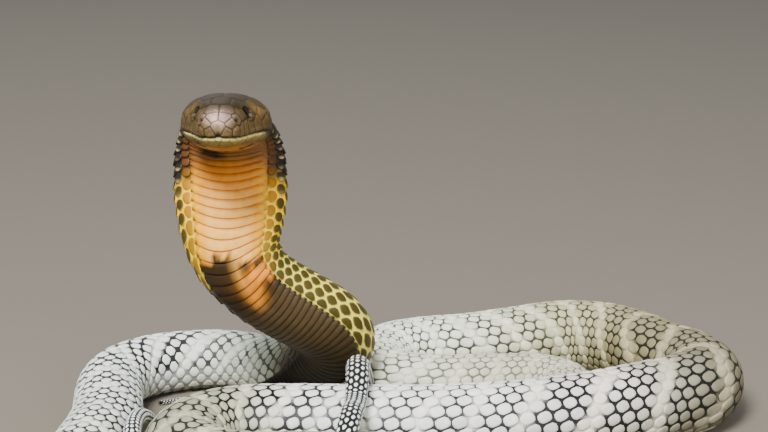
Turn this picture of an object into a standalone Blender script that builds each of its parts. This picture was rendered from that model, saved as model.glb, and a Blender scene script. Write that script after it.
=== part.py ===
"""King cobra at rest on its own coils: head raised, hood half spread.

Everything is worked out in millimetres in one frame (+X right, +Y away from
the viewer, +Z up, floor at zero) and scaled to metres at the end.
"""
import bpy
import bmesh
import math
import numpy as np

MM = 0.001
GAP = 0.3                 # clear space between neighbouring lengths
BELLY = 0.90              # a resting belly is flat at this share of its half height
SIDES = 20                # facets round a length
STEP = 16.0               # arc length between rings on a straight

# ---------------------------------------------------------------- the route


def arc(cx, cy, r, start, sweep, n=5):
    """Points on a flat turn, angles in degrees."""
    return [(cx + r * math.cos(math.radians(start + sweep * i / (n - 1))),
             cy + r * math.sin(math.radians(start + sweep * i / (n - 1))), None)
            for i in range(n)]


# (name, how many lengths it is divided into, points).  A height of None lays
# the body on the floor.
ROUTE = [
    ("hood", 2, [(-76.4, -101, 168.5), (-77, -93, 167), (-77.6, -86, 162), (-77.6, -83, 153.5),
                 (-77.4, -84.5, 143), (-77, -90, 125), (-76.6, -94.5, 108)]),
    ("neck", 1, [(-74, -95, 97.5), (-67, -93, 86.5), (-57, -88.5, 77), (-45, -83.5, 68)]),
    ("neck_turn", 2, [(-33.5, -78, 59.5), (-26, -73, 51), (-24.5, -67, 42), (-29.5, -59.5, 33.5),
                      (-39.5, -50, 25.5)]),
    ("left_coil", 3, [(-54, -34, 18), (-68, -21, None), (-86, -13, None), (-105, -14, None), (-124, -21.5, None),
                      (-140, -36.5, None), (-146, -59, None)]),
    ("front_fold_out", 7, [(-143.5, -86, None), (-140.5, -112, None), (-141, -140, None), (-143.5, -168, None),
                           (-144, -196, None)]
     + arc(-108, -214, 36, 180, 90, 4) + [(-66, -251, None), (-14, -250, None), (36, -253, None)]),
    ("front_fold_back", 6, arc(80, -226, 27, -90, 180, 6)
     + [(48, -196, None), (4, -191.5, None), (-36, -190, None)] + arc(-64, -158.5, 31.5, -90, -138, 5)),
    ("front_run", 3, [(-67, -127.5, None), (-44, -126.5, None), (-8, -128, None), (34, -126.5, None),
                      (75, -119.5, None), (110, -106.5, None)]),
    ("right_turn", 4, [(140, -90.5, None), (161, -78, None), (170.5, -59, None), (164.5, -39, None), (151, -22, None),
                       (141, -4, None)]),
    ("back_run", 2, [(126, 11, None), (107, 17, None), (86, 12, None), (64, 5, None), (43, 0, None)]),
    ("back_turn", 2, arc(22, -28, 27, 88, 184, 5)),
    ("middle_run", 1, [(46, -52, None), (66, -47.5, None)]),
    ("inner_turn", 2, arc(83, -62.5, 17.2, 90, -172, 5)),
    ("inner_run", 1, [(52, -85, None), (20, -90, None), (-14, -92, None)]),
    ("tail_base", 2, [(-42, -92, None), (-58, -92, None), (-69, -86, None), (-70, -76, None), (-60, -69, None),
                      (-44, -71, None), (-30, -72, None)]),
    ("tail_crossing", 2, [(-18.5, -72, 11), (-12.5, -74, 20.5), (-12, -82, 29), (-12.5, -92, 34.5), (-12.7, -103, 41.5),
                          (-13, -114, 46.6), (-13, -127, 50.3), (-13, -141.5, 48), (-14, -152, 39)]),
    ("tail_saddle", 2, [(-14, -153, 42), (-14.5, -163, 41.5), (-14.5, -174, 46), (-15, -186, 50), (-16, -198, 49.5),
                        (-18.5, -208.5, 44), (-24, -216, 36), (-33, -220, 26)]),
    ("tail_gutter", 2, [(-45, -221, 16.5), (-58, -221, 8.5), (-72, -220.5, None), (-88, -218, None), (-101, -211, 8),
                        (-110, -201, 18), (-115.5, -189, 29)]),
    ("tail_end", 4, [(-118.5, -175, 36), (-119, -160, 36), (-118, -145, 33), (-114, -129, 22), (-107, -112, 8),
                     (-98, -97, None), (-91, -82, None), (-88, -66, None), (-91, -52, None), (-101, -42, None),
                     (-113, -42, None), (-124, -47, None)]),
]

# arc length, half width, half thickness, fullness of the section (2 = round)
PROFILE = [
    (0, 19.4, 13.2, 2.2), (8, 20.6, 12.8, 2.0), (18, 25.0, 12.3, 1.9), (32, 28.4, 12.0, 1.75),
    (52, 28.8, 12.0, 1.7), (68, 26.2, 12.8, 1.75), (82, 23.4, 13.6, 1.9), (98, 21.2, 14.4, 1.95),
    (120, 21.6, 15.0, 2.0), (145, 22.2, 15.4, 2.0), (165, 20.6, 15.8, 2.0), (205, 17.0, 16.0, 2.05),
    (265, 16.8, 16.3, 2.1), (345, 17.6, 17.2, 2.1),
    (430, 19.0, 18.6, 2.1), (560, 21.0, 20.4, 2.1), (800, 22.0, 21.3, 2.1), (1340, 22.0, 21.3, 2.1),
    (1450, 20.6, 20.1, 2.1), (1530, 18.4, 18.0, 2.1), (1620, 16.4, 16.2, 2.1), (1690, 14.6, 14.4, 2.1),
    (1760, 12.6, 12.4, 2.1), (1820, 10.8, 10.6, 2.1), (1880, 9.3, 9.2, 2.1), (1940, 7.3, 7.2, 2.0),
    (1990, 6.3, 6.3, 2.0), (2040, 5.7, 5.7, 2.0), (2125, 5.2, 5.2, 2.0), (2215, 4.5, 4.5, 2.0),
    (2315, 3.5, 3.5, 2.0), (2395, 2.3, 2.3, 2.0), (2442, 0.9, 0.9, 2.0),
]

# share of the way from belly-to-the-viewer (0) to belly-down (1), by arc length
ROLL = [(0, 0), (105, 0), (150, 0.22), (190, 0.5), (225, 0.8), (262, 1.0)]


def profile(s):
    table = np.array(PROFILE, float)
    return [np.interp(s, table[:, 0], table[:, k]) for k in (1, 2, 3)]


def spline(points, n=16):
    """Centripetal Catmull-Rom through the points."""
    p = np.asarray(points, float)
    p = np.vstack([2 * p[0] - p[1], p, 2 * p[-1] - p[-2]])
    out = []
    for i in range(1, len(p) - 2):
        q = p[i - 1:i + 3]
        t = np.r_[0, np.cumsum(np.sqrt(np.linalg.norm(np.diff(q, axis=0), axis=1)))]
        for u in np.linspace(t[1], t[2], n, endpoint=False):
            def mix(a, b, ta, tb):
                return ((tb - u) * a + (u - ta) * b) / (tb - ta)
            a1, a2, a3 = (mix(q[k], q[k + 1], t[k], t[k + 1]) for k in range(3))
            b1, b2 = mix(a1, a2, t[0], t[2]), mix(a2, a3, t[1], t[3])
            out.append(mix(b1, b2, t[1], t[2]))
    out.append(p[-2])
    return np.array(out)


def centreline(step=2.0):
    """Evenly spaced points of the body's centre line, and the arc length of each leg's start."""
    points = [q for _, _, leg in ROUTE for q in leg]
    z = [15.0 if q[2] is None else q[2] for q in points]
    for _ in range(4):
        fine = spline([(q[0], q[1], h) for q, h in zip(points, z)])
        length = np.r_[0, np.cumsum(np.linalg.norm(np.diff(fine, axis=0), axis=1))]
        knots = length[::16][:len(points)]
        half = profile(knots)[1]
        z = [BELLY * h if q[2] is None else q[2] for q, h in zip(points, half)]
    s = np.arange(0, length[-1], step)
    c = np.array([np.interp(s, length, fine[:, k]) for k in range(3)]).T
    for _ in range(14):
        c[1:-1] = (c[:-2] + 2 * c[1:-1] + c[2:]) / 4
    on_floor = np.interp(s, knots, [q[2] is None for q in points]) > 0.999
    starts, k = [], 0
    for _, _, leg in ROUTE:
        starts.append(knots[k])
        k += len(leg)
    starts.append(s[-1])
    floor_z = BELLY * profile(s)[1]
    c[:, 2] = np.where(on_floor, floor_z, np.maximum(c[:, 2], floor_z))
    for _ in range(6):
        c[1:-1, 2] = np.where(on_floor[1:-1], c[1:-1, 2], (c[:-2, 2] + 2 * c[1:-1, 2] + c[2:, 2]) / 4)
    return s, c, starts


def head_axis():
    """Where the head points: towards the viewer, nose a little up."""
    fwd = np.array([math.sin(math.radians(HEAD_TURN)), -1.0, math.tan(math.radians(HEAD_LIFT))])
    return fwd / np.linalg.norm(fwd)


def axes(s, c):
    """Tangent, side and back direction at each point."""
    t = np.gradient(c, s, axis=0)
    t /= np.linalg.norm(t, axis=1)[:, None]
    nod = np.clip(1 - s / 10, 0, 1)[:, None]
    t = (1 - nod) * t - nod * head_axis()
    t /= np.linalg.norm(t, axis=1)[:, None]
    roll = np.interp(s, [r[0] for r in ROLL], [r[1] for r in ROLL])[:, None]
    back = (1 - roll) * np.array([0.0, 1.0, 0.12]) + roll * np.array([0, 0, 1.0])
    # over the first bend the back turns from the nape's up to the hood's rear
    nape = np.clip(1 - s / 26, 0, 1)[:, None]
    back = (1 - nape) * back + nape * np.array([0, 0.15, 1.0])
    side = np.cross(t, back)
    side /= np.linalg.norm(side, axis=1)[:, None]
    return t, side, np.cross(side, t)


# ---------------------------------------------------------------- solids

SHIFT = [0.0, 0.0]        # set by centre_model(), so that the origin is under the middle


def section(k, s_k, c_k, side, back, sides, lift=None):
    """One ring of points round the body, flat where it would pass the floor."""
    half_w, half_t, full = profile(s_k)
    ang = 2 * np.pi * (np.arange(sides) + 0.5) / sides - np.pi / 2
    co, si = np.cos(ang), np.sin(ang)
    x = np.sign(co) * np.abs(co) ** (2 / full) * half_w
    z = np.sign(si) * np.abs(si) ** (2 / full) * half_t
    if lift is not None:
        belly = np.clip((-si - 0.30) / 0.25, 0, 1)
        z = z - belly * lift
    ring = c_k + np.outer(x, side) + np.outer(z, back)
    ring[:, 2] = np.maximum(ring[:, 2], 0.0)
    return ring


def mesh_object(name, verts, faces):
    mesh = bpy.data.meshes.new(name)
    mesh.from_pydata([tuple(v * MM) for v in np.asarray(verts, float)], [], faces)
    mesh.update()
    obj = bpy.data.objects.new(name, mesh)
    bpy.context.scene.collection.objects.link(obj)
    bm = bmesh.new()
    bm.from_mesh(mesh)
    bmesh.ops.triangulate(bm, faces=bm.faces[:])
    bmesh.ops.recalc_face_normals(bm, faces=bm.faces[:])
    if bm.calc_volume(signed=True) < 0:
        bmesh.ops.reverse_faces(bm, faces=bm.faces[:])
    bm.to_mesh(mesh)
    bm.free()
    return obj


def tube(name, rings, tip=False):
    """A closed solid from rings, each end a fan about its middle."""
    n = len(rings[0])
    verts = [p for ring in rings for p in ring]
    faces = []
    for r in range(len(rings) - 1):
        for k in range(n):
            a, b = r * n + k, r * n + (k + 1) % n
            faces.append((a, b, b + n, a + n))
    for r, flip in ((0, True), (len(rings) - 1, False)):
        centre = np.mean(rings[r], axis=0)
        if tip and not flip:
            centre = centre + (rings[r].mean(axis=0) - rings[r - 1].mean(axis=0)) * 0.35
            centre[2] = max(centre[2], 0.2)
        verts.append(centre)
        m = len(verts) - 1
        for k in range(n):
            a, b = r * n + k, r * n + (k + 1) % n
            faces.append((b, a, m) if flip else (a, b, m))
    return mesh_object(name, verts, faces)


def stations(s0, s1, s, t):
    """Ring places between two cuts: closer together where the body bends."""
    k = np.linalg.norm(np.gradient(t, s, axis=0), axis=1)
    want = np.clip(0.44 / np.maximum(k, 1e-6), 8.0, STEP)
    inside = (s >= s0) & (s <= s1)
    need = np.sum(np.gradient(s)[inside] / want[inside])
    n = max(2, int(math.ceil(need)))
    density = np.cumsum(np.where(inside, 1 / want, 0.0))
    return np.interp(np.linspace(density[inside][0], density[inside][-1], n + 1), density[inside], s[inside])


def at(q, s, table):
    return np.array([np.interp(q, s, table[:, k]) for k in range(table.shape[1])])


SCUTE_PITCH = 8.0         # belly scutes of the raised neck, coarser than the real ones
SCUTE_LIFT = 0.7


def lengths():
    """Hood, neck, coils and tail as separate closed lengths."""
    s, c, starts = centreline()
    t, side, back = axes(s, c)
    for i, (leg, count, _) in enumerate(ROUTE):
        raised = leg in ("hood", "neck", "neck_turn")
        cuts = np.linspace(starts[i], starts[i + 1], count + 1)
        sides = 28 if raised else (SIDES if not leg.startswith("tail") else 14)
        if leg == "tail_end":
            sides = 10
        for k in range(count):
            a, b = cuts[k], cuts[k + 1]
            if raised:
                n = max(2, int(round((b - a) / SCUTE_PITCH)))
                edge = np.linspace(a, b, n + 1)
                places = [(q, l) for j in range(n)
                          for q, l in ((edge[j], 0.0), (edge[j + 1] - 0.8, SCUTE_LIFT))]
                places.append((b, 0.0))
            else:
                places = [(q, None) for q in stations(a, b, s, t)]
                places[0], places[-1] = (a, None), (b, None)
            rings = []
            for j, (q, l) in enumerate(places):
                tt, sd, bk = at(q, s, t), at(q, s, side), at(q, s, back)
                shift = GAP / 2 * ((j == 0) - (j == len(places) - 1))
                rings.append(section(j, q, at(q, s, c) + shift * tt, sd, bk, sides, l))
            last = leg == "tail_end" and k == count - 1
            tube("%s_%d" % (leg, k + 1) if count > 1 else leg, rings, tip=last)


# ---------------------------------------------------------------- head
# In the head's own frame: l forward from the nape's cut, x to the side, z up.

HEAD_L = 51.5
HEAD_LIFT, HEAD_TURN = 10.0, -0.4    # degrees: nose up, and turned to the viewer's side
WIDTH = [(0, 19.4), (4, 20.9), (9, 21.6), (15, 21.1), (22, 18.9), (28, 16.1), (33, 14.0), (38, 12.4),
         (42.5, 11.2), (46, 9.9), (48.6, 8.3), (50.4, 6.0), (51.2, 3.5), (51.5, 1.2)]
TOP = [(0, 12.8), (5, 13.8), (13, 14.3), (22, 14.0), (30, 12.9), (36, 11.2), (41, 9.3), (45, 7.4),
       (48, 5.4), (50.2, 3.1), (51.2, 1.4), (51.5, 0.5)]
UNDER = [(0, 13.0), (6, 13.4), (14, 13.0), (24, 12.0), (32, 11.2), (39, 10.3), (44, 9.2), (47.5, 7.6),
         (50, 5.4), (51.2, 3.2), (51.5, 1.6)]
MOUTH = [(54, -5.0), (45, -5.0), (38, -4.5), (30, -3.7), (20, -2.9), (12, -3.1), (7, -4.3)]
LIP_GAP = 0.5
EYE = (33.5, 9.3, 5.6)    # l, x, z of the eye's middle
EYE_R = 3.0
NOSTRIL = (46.6, 7.9, 2.4)

# seams between the big shields on the crown, as (l, x) lines for one side
SEAMS = [
    [(49.2, 0), (48.4, 4.0), (46.0, 6.6)],
    [(43.8, 0), (43.2, 6.8)],
    [(49, 0), (37.6, 0)],
    [(37.6, 0), (37.2, 4.8), (36.2, 9.0)],
    [(37.2, 4.8), (27.4, 3.2), (25.0, 0)],
    [(27.4, 3.2), (27.8, 10.4)],
    [(25.0, 0), (3.0, 0)],
    [(27.8, 10.4), (20, 12.4), (12.4, 10.0), (12.0, 0)],
    [(12.4, 10.0), (7.0, 10.6), (3.4, 6.6), (2.6, 0)],
]
SEAM_W, SEAM_D = 1.5, 0.6


def lookup(table, l):
    pts = sorted(table)
    return np.interp(l, [p[0] for p in pts], [p[1] for p in pts])


def seam_distance(l, x):
    best = 99.0
    p = np.array([l, abs(x)])
    for line in SEAMS:
        for a, b in zip(line, line[1:]):
            a, b = np.array(a, float), np.array(b, float)
            u = np.clip(np.dot(p - a, b - a) / np.dot(b - a, b - a), 0, 1)
            best = min(best, np.linalg.norm(p - a - u * (b - a)))
    return best


def head_point(l, ang):
    """A point of the head's surface, with its brow, cheeks and raised shields."""
    w, top, under = lookup(WIDTH, l), lookup(TOP, l), lookup(UNDER, l)
    co, si = math.cos(ang), math.sin(ang)
    n = 2.25 if si > 0 else 2.1
    x = math.copysign(abs(co) ** (2 / n), co) * w
    z = abs(si) ** (2 / n) * (top if si > 0 else -under)
    # the side above the lip falls inwards towards the brow
    above = max(0.0, z + 2.0) / (top + 2.0)
    fore = min(1.0, max(0.0, (l - 14) / 12))
    x *= 1 - 0.20 * fore * above * (1 - 0.5 * above)
    # brow over the eye
    brow = math.exp(-((l - EYE[0]) / 5.0) ** 2 - ((z - EYE[2] - 4.0) / 2.0) ** 2)
    x += math.copysign(1.1 * brow, x)
    if si > 0.25:
        x_seam = seam_distance(l, x)
        drop = SEAM_D * max(0.0, 1 - x_seam / SEAM_W)
        z -= drop * min(1.0, (si - 0.25) / 0.2)
    return l, x, z


def head_frame():
    s, c, _ = centreline()
    t, side, back = axes(s, c)
    fwd = head_axis()
    up = np.array([0, 0, 1.0])
    right = np.cross(fwd, up)
    right /= np.linalg.norm(right)
    return c[0], fwd, right, np.cross(right, fwd)


def to_world(points):
    o, f, r, u = head_frame()
    return [o + f * (p[0] + GAP / 2) + r * p[1] + u * p[2] for p in points]


def ball(name, centre, radius, seg=16, rings=9):
    pts = []
    for i in range(1, rings):
        a = math.pi * i / rings
        for k in range(seg):
            b = 2 * math.pi * k / seg
            pts.append((centre[0] + radius * math.sin(a) * math.cos(b),
                        centre[1] + radius * math.cos(a),
                        centre[2] + radius * math.sin(a) * math.sin(b)))
    pts += [(centre[0], centre[1] + radius, centre[2]), (centre[0], centre[1] - radius, centre[2])]
    faces = []
    for i in range(rings - 2):
        for k in range(seg):
            a, b = i * seg + k, i * seg + (k + 1) % seg
            faces.append((a, b, b + seg, a + seg))
    first, lastp = len(pts) - 2, len(pts) - 1
    for k in range(seg):
        faces.append((k, (k + 1) % seg, first))
        q = (rings - 2) * seg
        faces.append((q + k, q + (k + 1) % seg, lastp))
    return mesh_object(name, to_world(pts), faces)


def slab(name, outline, half):
    """A block with a side-view outline of (l, z) points."""
    n = len(outline)
    pts = [(l, sgn * half, z) for sgn in (-1, 1) for l, z in outline]
    faces = [tuple(range(n)), tuple(range(2 * n - 1, n - 1, -1))]
    faces += [(k, (k + 1) % n, (k + 1) % n + n, k + n) for k in range(n)]
    return mesh_object(name, to_world(pts), faces)


def cut(obj, tool, kind, keep_tool=False):
    mod = obj.modifiers.new("cut", "BOOLEAN")
    mod.operation, mod.object, mod.solver = kind, tool, "EXACT"
    bpy.context.view_layer.update()
    done = bpy.data.meshes.new_from_object(obj.evaluated_get(bpy.context.evaluated_depsgraph_get()))
    obj.modifiers.clear()
    obj.data = done
    if not keep_tool:
        bpy.data.objects.remove(tool)


def keep_largest(obj):
    bm = bmesh.new()
    bm.from_mesh(obj.data)
    left, best = set(bm.verts), []
    while left:
        seed = left.pop()
        group, stack = [seed], [seed]
        while stack:
            v = stack.pop()
            for e in v.link_edges:
                o = e.other_vert(v)
                if o in left:
                    left.remove(o)
                    group.append(o)
                    stack.append(o)
        if len(group) > len(best):
            best = group
    keep = set(best)
    bmesh.ops.delete(bm, geom=[v for v in bm.verts if v not in keep], context="VERTS")
    bmesh.ops.triangulate(bm, faces=bm.faces[:])
    bm.to_mesh(obj.data)
    bm.free()


def head():
    sides, rings_n = 44, 38
    places = [HEAD_L * (1 - (1 - i / rings_n) ** 1.35) for i in range(rings_n + 1)]
    places = [p for p in places if p < HEAD_L - 0.05] + [HEAD_L]
    rings = []
    for l in places:
        rings.append(np.array(to_world([head_point(l, 2 * math.pi * (k + 0.5) / sides) for k in range(sides)])))
    skull = tube("head", rings)
    jaw = tube("lower_jaw", rings)
    line = sorted(MOUTH, reverse=True)
    for name, obj, dz in (("DIFFERENCE", skull, LIP_GAP / 2), ("INTERSECT", jaw, -LIP_GAP / 2)):
        edge = [(l, z + dz) for l, z in line]
        back_l = line[-1][0] - 1.5 - 2 * dz
        outline = edge + [(back_l, line[-1][1] - 2.5 + dz), (back_l - 5, -30), (60, -30), (60, line[0][1] + dz)]
        cut(obj, slab("slab", outline, 40), name)
    for sgn in (-1, 1):
        socket = ball("socket", (EYE[0], sgn * EYE[1], EYE[2]), EYE_R + GAP)
        cut(skull, socket, "DIFFERENCE")
        pit = ball("pit", (NOSTRIL[0], sgn * NOSTRIL[1], NOSTRIL[2]), 1.3, 8, 5)
        cut(skull, pit, "DIFFERENCE")
        ball("eye_left" if sgn < 0 else "eye_right", (EYE[0], sgn * EYE[1], EYE[2]), EYE_R)
    keep_largest(skull)
    keep_largest(jaw)


def centre_model():
    """Move everything so that the origin is under the middle of the bounding box."""
    objs = [o for o in bpy.data.objects if o.type == "MESH"]
    co = np.vstack([np.array([v.co[:] for v in o.data.vertices]) for o in objs])
    low, high = co.min(axis=0), co.max(axis=0)
    SHIFT[0], SHIFT[1] = (low[0] + high[0]) / 2, (low[1] + high[1]) / 2
    for o in objs:
        for v in o.data.vertices:
            v.co[0] -= SHIFT[0]
            v.co[1] -= SHIFT[1]
    print("shift mm", [round(v / MM, 3) for v in SHIFT], "size mm", [round(v / MM, 1) for v in high - low])
    print("triangles", sum(len(o.data.loop_triangles) or sum(len(p.vertices) - 2 for p in o.data.polygons)
                           for o in objs))


def main():
    for obj in list(bpy.data.objects):
        bpy.data.objects.remove(obj)
    head()
    lengths()
    centre_model()


if __name__ == "__main__":
    main()
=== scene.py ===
# %% [markdown]
# # King cobra, life size
# A snake is one long tube with a head. Its skin is a dark, stretchy sheet, and on it lie horny plates:
# small scales over the back and sides, one wide scute after another under the belly, and large shields
# on the head. So the model is made the same way: one skin first, then the plates over it.

# %% Load the solids
import math
import numpy as np
import bpy
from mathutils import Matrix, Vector
from mathutils.bvhtree import BVHTree


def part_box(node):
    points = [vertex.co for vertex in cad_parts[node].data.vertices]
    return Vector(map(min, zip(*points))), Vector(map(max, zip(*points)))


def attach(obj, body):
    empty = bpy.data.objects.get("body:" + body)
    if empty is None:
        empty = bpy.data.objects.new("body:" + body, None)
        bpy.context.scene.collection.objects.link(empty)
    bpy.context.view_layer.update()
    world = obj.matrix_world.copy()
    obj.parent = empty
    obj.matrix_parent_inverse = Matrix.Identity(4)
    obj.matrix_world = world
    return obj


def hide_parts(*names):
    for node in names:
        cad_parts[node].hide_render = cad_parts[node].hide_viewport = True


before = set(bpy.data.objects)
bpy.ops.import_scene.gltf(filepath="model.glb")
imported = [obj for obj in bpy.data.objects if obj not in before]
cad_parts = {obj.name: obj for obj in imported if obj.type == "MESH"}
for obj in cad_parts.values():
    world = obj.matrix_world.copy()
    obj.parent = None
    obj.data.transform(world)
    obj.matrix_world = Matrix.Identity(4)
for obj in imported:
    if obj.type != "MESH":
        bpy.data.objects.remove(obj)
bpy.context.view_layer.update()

MM = 0.001
BELLY = 0.90              # a resting belly is flat at this share of its half height
rng = np.random.default_rng(11)

# %% [markdown]
# ## The line of the body
# The coils follow one spline in millimetres, in the same named legs as the solids. Each leg is a handful of
# places, because a body that lies at rest has only long, easy bends, and a spline through few points
# bends evenly where many points would make it wobble.

# %% Legs of the route and the body's girth


def arc(cx, cy, r, start, sweep, n=5):
    """Points on a flat turn, angles in degrees."""
    return [(cx + r * math.cos(math.radians(start + sweep * i / (n - 1))),
             cy + r * math.sin(math.radians(start + sweep * i / (n - 1))), None)
            for i in range(n)]


# (name, how many lengths it is divided into, points).  A height of None lays
# the body on the floor.
ROUTE = [
    ("hood", 2, [(-76.4, -101, 168.5), (-77, -93, 167), (-77.6, -86, 162), (-77.6, -83, 153.5),
                 (-77.4, -84.5, 143), (-77, -90, 125), (-76.6, -94.5, 108)]),
    ("neck", 1, [(-74, -95, 97.5), (-67, -93, 86.5), (-57, -88.5, 77), (-45, -83.5, 68)]),
    ("neck_turn", 2, [(-33.5, -78, 59.5), (-26, -73, 51), (-24.5, -67, 42), (-29.5, -59.5, 33.5),
                      (-39.5, -50, 25.5)]),
    ("left_coil", 3, [(-54, -34, 18), (-68, -21, None), (-86, -13, None), (-105, -14, None), (-124, -21.5, None),
                      (-140, -36.5, None), (-146, -59, None)]),
    ("front_fold_out", 7, [(-143.5, -86, None), (-140.5, -112, None), (-141, -140, None), (-143.5, -168, None),
                           (-144, -196, None)]
     + arc(-108, -214, 36, 180, 90, 4) + [(-66, -251, None), (-14, -250, None), (36, -253, None)]),
    ("front_fold_back", 6, arc(80, -226, 27, -90, 180, 6)
     + [(48, -196, None), (4, -191.5, None), (-36, -190, None)] + arc(-64, -158.5, 31.5, -90, -138, 5)),
    ("front_run", 3, [(-67, -127.5, None), (-44, -126.5, None), (-8, -128, None), (34, -126.5, None),
                      (75, -119.5, None), (110, -106.5, None)]),
    ("right_turn", 4, [(140, -90.5, None), (161, -78, None), (170.5, -59, None), (164.5, -39, None), (151, -22, None),
                       (141, -4, None)]),
    ("back_run", 2, [(126, 11, None), (107, 17, None), (86, 12, None), (64, 5, None), (43, 0, None)]),
    ("back_turn", 2, arc(22, -28, 27, 88, 184, 5)),
    ("middle_run", 1, [(46, -52, None), (66, -47.5, None)]),
    ("inner_turn", 2, arc(83, -62.5, 17.2, 90, -172, 5)),
    ("inner_run", 1, [(52, -85, None), (20, -90, None), (-14, -92, None)]),
    ("tail_base", 2, [(-42, -92, None), (-58, -92, None), (-69, -86, None), (-70, -76, None), (-60, -69, None),
                      (-44, -71, None), (-30, -72, None)]),
    ("tail_crossing", 2, [(-18.5, -72, 11), (-12.5, -74, 20.5), (-12, -82, 29), (-12.5, -92, 34.5), (-12.7, -103, 41.5),
                          (-13, -114, 46.6), (-13, -127, 50.3), (-13, -141.5, 48), (-14, -152, 39)]),
    ("tail_saddle", 2, [(-14, -153, 42), (-14.5, -163, 41.5), (-14.5, -174, 46), (-15, -186, 50), (-16, -198, 49.5),
                        (-18.5, -208.5, 44), (-24, -216, 36), (-33, -220, 26)]),
    ("tail_gutter", 2, [(-45, -221, 16.5), (-58, -221, 8.5), (-72, -220.5, None), (-88, -218, None), (-101, -211, 8),
                        (-110, -201, 18), (-115.5, -189, 29)]),
    ("tail_end", 4, [(-118.5, -175, 36), (-119, -160, 36), (-118, -145, 33), (-114, -129, 22), (-107, -112, 8),
                     (-98, -97, None), (-91, -82, None), (-88, -66, None), (-91, -52, None), (-101, -42, None),
                     (-113, -42, None), (-124, -47, None)]),
]

# arc length, half width, half thickness, fullness of the section (2 = round)
PROFILE = [
    (0, 19.4, 13.2, 2.2), (8, 20.6, 12.8, 2.0), (18, 25.0, 12.3, 1.9), (32, 28.4, 12.0, 1.75),
    (52, 28.8, 12.0, 1.7), (68, 26.2, 12.8, 1.75), (82, 23.4, 13.6, 1.9), (98, 21.2, 14.4, 1.95),
    (120, 21.6, 15.0, 2.0), (145, 22.2, 15.4, 2.0), (165, 20.6, 15.8, 2.0), (205, 17.0, 16.0, 2.05),
    (265, 16.8, 16.3, 2.1), (345, 17.6, 17.2, 2.1),
    (430, 19.0, 18.6, 2.1), (560, 21.0, 20.4, 2.1), (800, 22.0, 21.3, 2.1), (1340, 22.0, 21.3, 2.1),
    (1450, 20.6, 20.1, 2.1), (1530, 18.4, 18.0, 2.1), (1620, 16.4, 16.2, 2.1), (1690, 14.6, 14.4, 2.1),
    (1760, 12.6, 12.4, 2.1), (1820, 10.8, 10.6, 2.1), (1880, 9.3, 9.2, 2.1), (1940, 7.3, 7.2, 2.0),
    (1990, 6.3, 6.3, 2.0), (2040, 5.7, 5.7, 2.0), (2125, 5.2, 5.2, 2.0), (2215, 4.5, 4.5, 2.0),
    (2315, 3.5, 3.5, 2.0), (2395, 2.3, 2.3, 2.0), (2442, 0.9, 0.9, 2.0),
]

# %% Tables of the head
HEAD_L = 51.5
HEAD_LIFT, HEAD_TURN = 10.0, -0.4    # degrees: nose up, and turned to the viewer's side
WIDTH = [(0, 19.4), (4, 20.9), (9, 21.6), (15, 21.1), (22, 18.9), (28, 16.1), (33, 14.0), (38, 12.4),
         (42.5, 11.2), (46, 9.9), (48.6, 8.3), (50.4, 6.0), (51.2, 3.5), (51.5, 1.2)]
TOP = [(0, 12.8), (5, 13.8), (13, 14.3), (22, 14.0), (30, 12.9), (36, 11.2), (41, 9.3), (45, 7.4),
       (48, 5.4), (50.2, 3.1), (51.2, 1.4), (51.5, 0.5)]
UNDER = [(0, 13.0), (6, 13.4), (14, 13.0), (24, 12.0), (32, 11.2), (39, 10.3), (44, 9.2), (47.5, 7.6),
         (50, 5.4), (51.2, 3.2), (51.5, 1.6)]
MOUTH = [(54, -5.0), (45, -5.0), (38, -4.5), (30, -3.7), (20, -2.9), (12, -3.1), (7, -4.3)]
EYE, EYE_R = (33.5, 9.3, 5.6), 3.0
NOSTRIL = (46.6, 7.9, 2.4)

# %% Spline, sections and axes
ROLL = [(0, 0), (105, 0), (150, 0.22), (190, 0.5), (225, 0.8), (262, 1.0)]


def profile(s):
    table = np.array(PROFILE, float)
    return [np.interp(s, table[:, 0], table[:, k]) for k in (1, 2, 3)]


def spline(points, n=16):
    """Centripetal Catmull-Rom through the points."""
    p = np.asarray(points, float)
    p = np.vstack([2 * p[0] - p[1], p, 2 * p[-1] - p[-2]])
    out = []
    for i in range(1, len(p) - 2):
        q = p[i - 1:i + 3]
        t = np.r_[0, np.cumsum(np.sqrt(np.linalg.norm(np.diff(q, axis=0), axis=1)))]
        for u in np.linspace(t[1], t[2], n, endpoint=False):
            def mix(a, b, ta, tb):
                return ((tb - u) * a + (u - ta) * b) / (tb - ta)
            a1, a2, a3 = (mix(q[k], q[k + 1], t[k], t[k + 1]) for k in range(3))
            b1, b2 = mix(a1, a2, t[0], t[2]), mix(a2, a3, t[1], t[3])
            out.append(mix(b1, b2, t[1], t[2]))
    out.append(p[-2])
    return np.array(out)


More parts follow.
